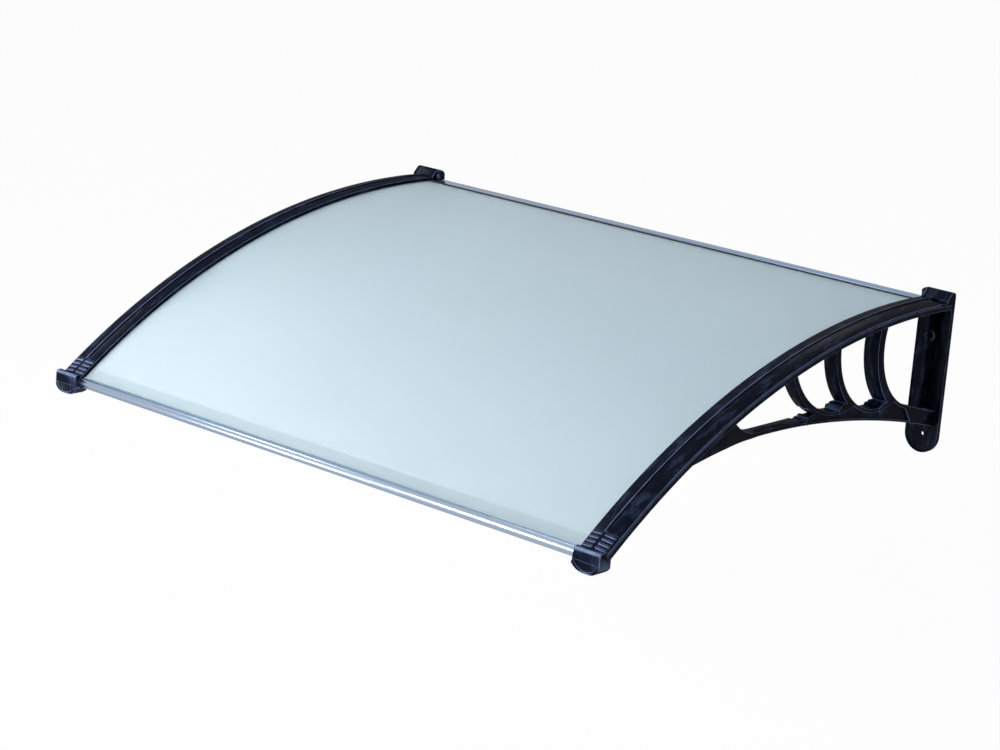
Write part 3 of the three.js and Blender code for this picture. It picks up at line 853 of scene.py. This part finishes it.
    def plate(self, edge):
        outline = [(SIDE_OUT, 13), *bow(PLATE_X, PLATE_FOOT_Z, PLATE_R, 0, -math.pi, 48)]
        outline += [(PLATE_IN, -16.3), (STRIP_IN, -16.3), (STRIP_IN, 13)]
        plate = panel("plate", outline, 0, -PLATE_DEPTH)
        edit_all(plate)
        bpy.ops.mesh.select_all(action="DESELECT")
        done()
        for face in plate.data.polygons:
            face.select = face.normal.y < -0.9
        bpy.ops.object.mode_set(mode="EDIT")
        bpy.ops.mesh.inset(thickness=PLATE_RIM_W * MM, depth=0)
        bpy.ops.transform.translate(value=(0, PLATE_RIM * MM, 0))
        done()
        boss = rod("boss", PLATE_X, -9.5, TOP_HOLE_Z, BOSS_R, 11, "Y", 64)
        cut(boss, rod("hole", PLATE_X, -14, TOP_HOLE_Z, 6, 12, "Y", 48))
        outline = [(-24, -8), (-2, -8), (-2, -160), (-24, -160)]
        rib = bar("rib", outline, PLATE_X - 1.7, PLATE_X + 1.7)
        cut(rib, rod("clear", PLATE_X, -12, TOP_HOLE_Z, 6, 40, "Y", 48))
        for piece in (plate, boss, rib):
            soften(piece, edge * 0.8, 3, 35)
            for z in (PLATE_FOOT_Z, TOP_HOLE_Z):
                cut(piece, rod("hole", PLATE_X, -15, z, WALL_HOLE_R, 60, "Y", 48))
        return joined("plate", plate, boss, rib)

    def upstand(self):
        fold = bezier((0, 13), (0, 17.8), (-4, 18.6), (-7, 18.6), 8)
        fold += bezier((-7, 18.6), (-10.8, 18.6), (-12.4, 16.6), (-15.2, 13.6), 8)[1:]
        outline = [
            (0, TRAY_BOTTOM), *fold, (-19, 9.6), (UPSTAND_Y, 7.4), at(UPSTAND_Y, GAP),
            at(-10, GAP), (-10, TRAY_BOTTOM),
        ]
        upstand = bar("upstand", outline, STRIP_IN, SIDE_OUT)
        outline = [(0, 2.5), *fold[:-4], (-12.9, 12.2), (-10, 11.4), (-10, 2.5)]
        cap = bar("cap", outline, UPSTAND_IN, STRIP_IN + 3)
        rounded = [(UPSTAND_IN, 2.5), (STRIP_IN + 5, 2.5), (STRIP_IN + 5, 18.6)]
        rounded += bow(STRIP_IN, 9.6, 9, math.pi / 2, math.pi, 16)
        cut(cap, panel("rounded", rounded, -20, 5), operation="INTERSECT")
        return joined("upstand", soften(upstand, 0.9, 3, 40), soften(cap, 0.6, 3, 40))

    def tab(self):
        tab = bar("tab", [(-30, -20.3), (-2, -26.3), (-2, -16.3), (-30, -16.3)], PLATE_IN, 498)
        web = bar("web", [(-30, -18), (-2, -18), (-2, -6.6), at(-30, -6.6)], 491, 495)
        hole = rod("hole", REAR_SCREW_X, REAR_SCREW_Y, -20, SCREW_HOLE_R, 30, "Z")
        cut(tab, hole, rod("seat", REAR_SCREW_X, REAR_SCREW_Y, -25.3, 4.8, 10, "Z"))
        return soften(tab, 0.6, 2), soften(web, 0.6, 2)

    def nose(self):
        centre_y, centre_z = NOSE
        half_y, half_z = NOSE_HALF
        outline = []
        for quarter, (side_y, side_z) in enumerate(((1, 1), (-1, 1), (-1, -1), (1, -1))):
            y, z = centre_y + side_y * (half_y - 5), centre_z + side_z * (half_z - 5)
            outline += bow(y, z, 5, quarter * math.pi / 2, (quarter + 1) * math.pi / 2, 3)
        nose = soften(bar("nose", outline, NOSE_IN, SIDE_OUT + 1), 2, 3, 50)
        bowed = self.nose_bow(0) + [(SIDE_OUT + 6, -220), (NOSE_IN - 5, -220)]
        cut(nose, panel("bowed", bowed, centre_y - 30, centre_y + 30), operation="INTERSECT")
        face_y = centre_y - half_y
        cut(nose, panel("dimple", self.nose_bow(4.5), face_y - 8, face_y + 1.5))
        strip_seat = ((-60, SHEET_UNDER), (3.3, SHEET_UNDER), (3.3, 40), (-60, 40))
        over_rail = ((-60, TUBE_H), (60, TUBE_H), (60, 60), (-60, 60))
        cut(
            nose,
            bar("strip_seat", [ahead(*p) for p in strip_seat], 470, 540),
            bar("over_rail", [ahead(*p) for p in over_rail], 470, STRIP_IN),
            tube_seat(),
        )
        edit_all(nose)
        bpy.ops.mesh.remove_doubles(threshold=0.2 * MM)
        done()
        soften(nose, 0.7, 3, 50, clamp=False)
        # The rounding carries a few corners past the front face, so they go back onto it.
        for vertex in nose.data.vertices:
            vertex.co.y = max(vertex.co.y, face_y * MM)
        return nose

    def nose_bow(self, inset):
        """The nose's bowed underside seen from the front, drawn in by an inset."""
        left, right, top, low = NOSE_IN + inset, SIDE_OUT + 1 - inset, -249 + inset, -265.5 + inset
        return bezier((left, top), (500, low), (525, low), (right, top - 1), 24)


class CANOPY_OT_screws(bpy.types.Operator):
    """Turns one screw and sets a copy at every fixing"""

    bl_idname = "canopy.screws"
    bl_label = "Screws"

    def execute(self, context):
        steel = plain_steel(context.scene.canopy_colours.steel)
        for i, y in enumerate(SCREW_Y, 1):
            name = f"strip_screw_{{}}_{i}"
            self.place(steel, name, SCREW_X, angle_at(y), TRAY_BOTTOM - GAP, 2)
        angle = LIP_ANGLE + FRONT_SCREW_S / ROOF_R
        top, tip = TRAY_BOTTOM - GAP, -GAP - SHEET_T
        self.place(steel, "front_rail_screw_{}", FRONT_SCREW_X, angle, top, tip)
        self.place(steel, "rear_rail_screw_{}", REAR_SCREW_X, None, -20.6, -10)
        return {"FINISHED"}

    def place(self, steel, name, x, angle, top, tip):
        """A pan-head screw standing on the roof's normal, or upright where there is no angle."""
        upright = angle is None
        profile = [
            (0, top - 2.6), (2.4, top - 2.6), (3.0, top - 2.4), (3.6, top - 1.9),
            (3.9, top - 1.2), (4, top - 0.4), (4, top), (2, top), (2, tip - 1), (1, tip), (0, tip),
        ]
        low = top - 2.6
        bpy.ops.object.select_all(action="DESELECT")
        bpy.ops.mesh.primitive_circle_add(vertices=len(profile), radius=0.01, fill_type="NOTHING")
        screw = bpy.context.object
        for vertex, (r, h) in zip(screw.data.vertices, profile):
            vertex.co = (r * MM, 0, h * MM)
        edit_all(screw)
        bpy.ops.mesh.spin(steps=24, angle=2 * math.pi, center=(0, 0, 0), axis=(0, 0, 1))
        bpy.ops.mesh.select_all(action="SELECT")
        bpy.ops.mesh.remove_doubles(threshold=0.00001)
        bpy.ops.mesh.normals_make_consistent(inside=False)
        done()
        for turn in (0, math.pi / 2):
            bpy.ops.object.select_all(action="DESELECT")
            bpy.ops.mesh.primitive_cube_add(
                size=1, location=(0, 0, (low + 0.6) * MM), rotation=(0, 0, turn)
            )
            slot = bpy.context.object
            slot.scale = (4.2 * MM, 0.9 * MM, 2.2 * MM)
            settle(slot)
            cut(screw, slot)
        smooth(screw, 35)
        edit_all(screw)
        y, z = (REAR_SCREW_Y, 0) if upright else arc(angle, 0)
        if not upright:
            bpy.ops.transform.rotate(value=-angle, orient_axis="X", center_override=(0, 0, 0))
        bpy.ops.transform.translate(value=(x * MM, y * MM, z * MM))
        done()
        screw.name = screw.data.name = "turned_" + name.format("right")
        left = other_side(screw, "turned_" + name.format("left"))
        finished(screw, steel, "screw_steel", name.format("right"))
        finished(left, steel, "screw_steel", name.format("left"))


# The stage, in metres: each lamp's name, place, width and power in watts.
LAMPS = (
    ("key", (-0.8, -3.3, 1.0), 0.9, 88),
    ("side", (-2.6, -0.8, 2.2), 0.8, 13),
    ("low", (-1.9, -2.7, -0.4), 0.9, 22),
    ("back", (-1.3, 2.2, 2.3), 1.0, 8),
)
LAMP_TARGET = (0, -0.4, -0.1)
FLOOR_Z = -0.75
SEEN_RAYS = ("Camera", "Glossy", "Transmission")

# The camera, fitted to the photograph: azimuth, elevation and roll in degrees.
CAMERA_PLACE = (2.59163, -3.42772, 0.86704)
CAMERA_TURNS = (40.3928, 14.5795, 4.4581)
SENSOR_WIDTH, LENS = 36, 99.6249


class CANOPY_OT_stage(bpy.types.Operator):
    """Sets the floor, the lights and the camera"""

    bl_idname = "canopy.stage"
    bl_label = "Stage"

    def execute(self, context):
        scene = context.scene
        scene.view_settings.view_transform = "Standard"
        self.floor()
        self.world(scene)
        for lamp in LAMPS:
            self.light(*lamp)
        self.camera(scene)
        return {"FINISHED"}

    def floor(self):
        bpy.ops.object.select_all(action="DESELECT")
        bpy.ops.mesh.primitive_plane_add(size=40, location=(0, 0, FLOOR_Z))
        floor = bpy.context.object
        floor.name = "floor"
        settle(floor)
        s = Shade("pale_floor")
        s.tree.nodes.remove(s.surface)
        ray = s.add("ShaderNodeLightPath")
        diffuse = s.add("ShaderNodeBsdfDiffuse", Color=(0.9, 0.9, 0.9, 1)).outputs[0]
        glow = s.add("ShaderNodeEmission", Color=(1, 1, 1, 1), Strength=1.0).outputs[0]
        mix = s.add("ShaderNodeMixShader", Fac=0.97)
        s.tree.links.new(diffuse, mix.inputs[1])
        s.tree.links.new(glow, mix.inputs[2])
        seen = any_of(s.tree, *[ray.outputs[f"Is {kind} Ray"] for kind in SEEN_RAYS])
        pick = s.add("ShaderNodeMixShader", Fac=seen)
        s.tree.links.new(diffuse, pick.inputs[1])
        s.tree.links.new(mix.outputs[0], pick.inputs[2])
        below = s.add("ShaderNodeNewGeometry").outputs["Backfacing"]
        clear = s.add("ShaderNodeBsdfTransparent").outputs[0]
        last = s.add("ShaderNodeMixShader", Fac=below)
        s.tree.links.new(pick.outputs[0], last.inputs[1])
        s.tree.links.new(clear, last.inputs[2])
        s.tree.links.new(last.outputs[0], s.tree.nodes["Material Output"].inputs["Surface"])
        floor.data.materials.append(s.material)

    def world(self, scene):
        world = bpy.data.worlds.new("studio")
        scene.world = world
        world.use_nodes = True
        tree = world.node_tree
        nodes, links = tree.nodes, tree.links
        background = nodes["Background"]
        background.inputs["Color"].default_value = (1, 1, 1, 1)
        ray = nodes.new("ShaderNodeLightPath")
        seen = any_of(tree, *[ray.outputs[f"Is {kind} Ray"] for kind in SEEN_RAYS])
        strength = nodes.new("ShaderNodeMapRange")
        strength.inputs["To Min"].default_value = 0.24
        strength.inputs["To Max"].default_value = 1.0
        links.new(seen, strength.inputs["Value"])
        links.new(strength.outputs[0], background.inputs["Strength"])

    def light(self, name, place, size, power):
        data = bpy.data.lights.new(name, "AREA")
        data.shape, data.size, data.energy = "DISK", size, power
        lamp = bpy.data.objects.new(name, data)
        lamp.location = place
        lamp.rotation_mode = "QUATERNION"
        toward = Vector(LAMP_TARGET) - Vector(place)
        lamp.rotation_quaternion = toward.to_track_quat("-Z", "Y")
        bpy.context.collection.objects.link(lamp)

    def camera(self, scene):
        data = bpy.data.cameras.new("camera")
        data.sensor_width, data.lens = SENSOR_WIDTH, LENS
        data.clip_start, data.clip_end = 0.05, 100
        camera = bpy.data.objects.new("camera", data)
        bpy.context.collection.objects.link(camera)
        a, e, roll = (math.radians(v) for v in CAMERA_TURNS)
        back = Vector((math.sin(a) * math.cos(e), -math.cos(a) * math.cos(e), math.sin(e)))
        right = Vector((math.cos(a), math.sin(a), 0))
        up = back.cross(right)
        x = right * math.cos(roll) + up * math.sin(roll)
        y = up * math.cos(roll) - right * math.sin(roll)
        turn = Matrix((x, y, back)).transposed().to_4x4()
        camera.matrix_world = Matrix.Translation(CAMERA_PLACE) @ turn
        scene.camera = camera


class CANOPY_PT_pieces(bpy.types.Panel):
    """Lists the canopy's pieces in the sidebar"""

    bl_idname = "CANOPY_PT_pieces"
    bl_label = "Door canopy"
    bl_space_type = "VIEW_3D"
    bl_region_type = "UI"
    bl_category = "Canopy"

    def draw(self, context):
        for group in (context.scene.canopy_sizes, context.scene.canopy_colours):
            for name in group.__annotations__:
                self.layout.prop(group, name)
        for operator in PIECES:
            self.layout.operator(operator.bl_idname)


PIECES = (
    CANOPY_OT_sheet, CANOPY_OT_rails, CANOPY_OT_cover_strips, CANOPY_OT_brackets, CANOPY_OT_screws,
    CANOPY_OT_stage,
)
CLASSES = (CanopySizes, CanopyColours, *PIECES, CANOPY_PT_pieces)


def register():
    for cls in CLASSES:
        bpy.utils.register_class(cls)
    bpy.types.Scene.canopy_sizes = PointerProperty(type=CanopySizes)
    bpy.types.Scene.canopy_colours = PointerProperty(type=CanopyColours)


def unregister():
    del bpy.types.Scene.canopy_colours
    del bpy.types.Scene.canopy_sizes
    for cls in reversed(CLASSES):
        bpy.utils.unregister_class(cls)


def main():
    register()
    bpy.ops.canopy.sheet()
    bpy.ops.canopy.rails()
    bpy.ops.canopy.cover_strips()
    bpy.ops.canopy.brackets()
    bpy.ops.canopy.screws()
    bpy.ops.canopy.stage()


if __name__ == "__main__":
    main()
